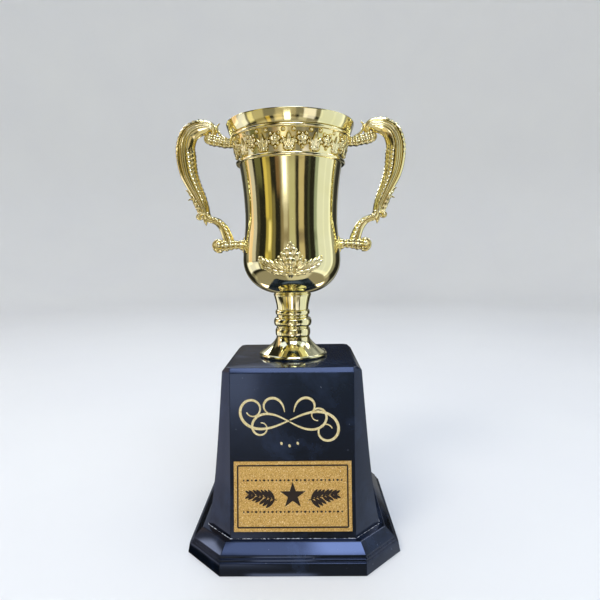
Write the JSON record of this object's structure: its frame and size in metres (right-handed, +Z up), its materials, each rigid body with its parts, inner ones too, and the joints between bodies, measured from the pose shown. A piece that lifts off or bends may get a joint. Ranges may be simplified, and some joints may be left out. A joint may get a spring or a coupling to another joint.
{
  "type": "presentation cup on pedestal",
  "caption": "Two-handled gold-finish presentation cup with ornament band and ringed stem, on a tapered eight-sided gloss black pedestal with a gold plaque.",
  "frame": {"origin": "centre of the plinth's footprint, on the surface that it stands on", "axes": "+Z up through the stem and the bowl, the plaque faces -Y, the handles lie along X"},
  "size_m": [0.1884, 0.162, 0.3367],
  "materials": {
    "gold_plated_plastic": "gloss",
    "black_plastic": "gloss",
    "plaque_gold": "satin",
    "adhesive_foam": "matte",
    "zinc_steel": "satin",
    "ballast_steel": "satin",
    "hardboard": "matte",
    "felt": "matte"
  },
  "bodies": {
    "root": {"felt_pad": "felt", "base_board": "hardboard", "base_board_screws": "zinc_steel", "ballast_plate": "ballast_steel", "plinth": "black_plastic", "pedestal_column": "black_plastic", "plaque_adhesive": "adhesive_foam", "plaque": "plaque_gold", "lower_nut": "zinc_steel", "lower_washer": "zinc_steel", "tie_rod": "zinc_steel", "upper_washer": "zinc_steel", "upper_nut": "zinc_steel", "cup_foot": "gold_plated_plastic", "stem_knop": "gold_plated_plastic", "stem_collar": "gold_plated_plastic", "bowl": "gold_plated_plastic", "ornament_band": "gold_plated_plastic", "front_spray": "gold_plated_plastic", "rear_spray": "gold_plated_plastic", "handle_left": "gold_plated_plastic", "handle_right": "gold_plated_plastic", "handle_screws": "zinc_steel"}
  },
  "joints": []
}
